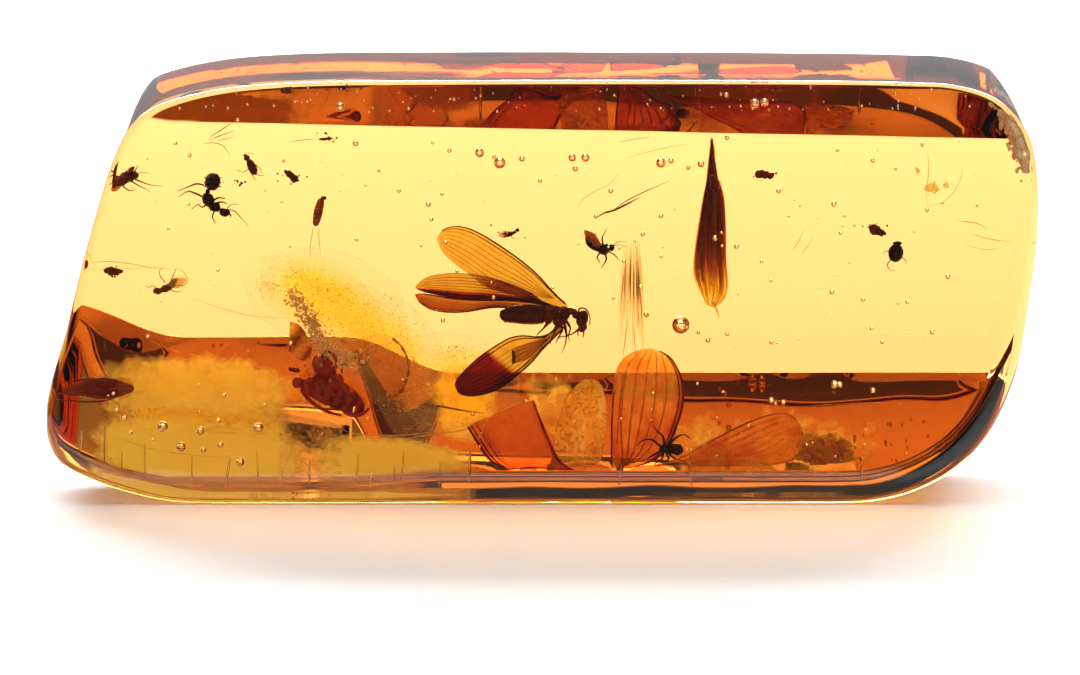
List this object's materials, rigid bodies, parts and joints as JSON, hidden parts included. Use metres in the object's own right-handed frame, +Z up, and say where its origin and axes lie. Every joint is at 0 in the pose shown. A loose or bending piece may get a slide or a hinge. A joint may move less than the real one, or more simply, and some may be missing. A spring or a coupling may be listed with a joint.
{
  "type": "insect in amber",
  "caption": "Polished clear amber block that stands on its flat lower edge, with a winged termite and other small insects, shed wings and plant scraps sealed inside.",
  "frame": {"origin": "on the surface that the block stands on, under the middle of its box", "axes": "+X along the block, to the right as the picture shows it; +Y in through the front face; +Z up"},
  "size_m": [0.0547, 0.0176, 0.0233],
  "materials": {
    "amber": "hand polished, golden",
    "termite": "shiny dark brown body, smoky golden wings",
    "dark_insect": "near black, faint gloss",
    "red_mite": "dark red",
    "brown_case": "glossy brown",
    "husk": "fibrous brown",
    "shed_wing": "veined clear brown",
    "bract": "thin red-brown",
    "bark": "crumbly pale yellow",
    "bud_scale": "thin skin",
    "fibre": "pale parallel fibres",
    "old_resin": "glossy red-brown"
  },
  "bodies": {
    "root": {"amber_front": "amber", "amber_back": "amber", "termite": "termite", "ant": "dark_insect", "beetle": "dark_insect", "edge_fly": "dark_insect", "midge": "dark_insect", "gnat": "dark_insect", "tiny_gnat": "dark_insect", "spider": "dark_insect", "oval_beetle": "dark_insect", "husk_mite": "red_mite", "larva": "brown_case", "pupa": "brown_case", "seed_husk": "husk", "upright_wing": "shed_wing", "lying_wing": "shed_wing", "bract": "bract", "bark_flake": "bark", "bark_lump": "bark", "bud_scale": "bud_scale", "fibre_bundle": "fibre", "resin_drop": "old_resin"}
  },
  "joints": []
}
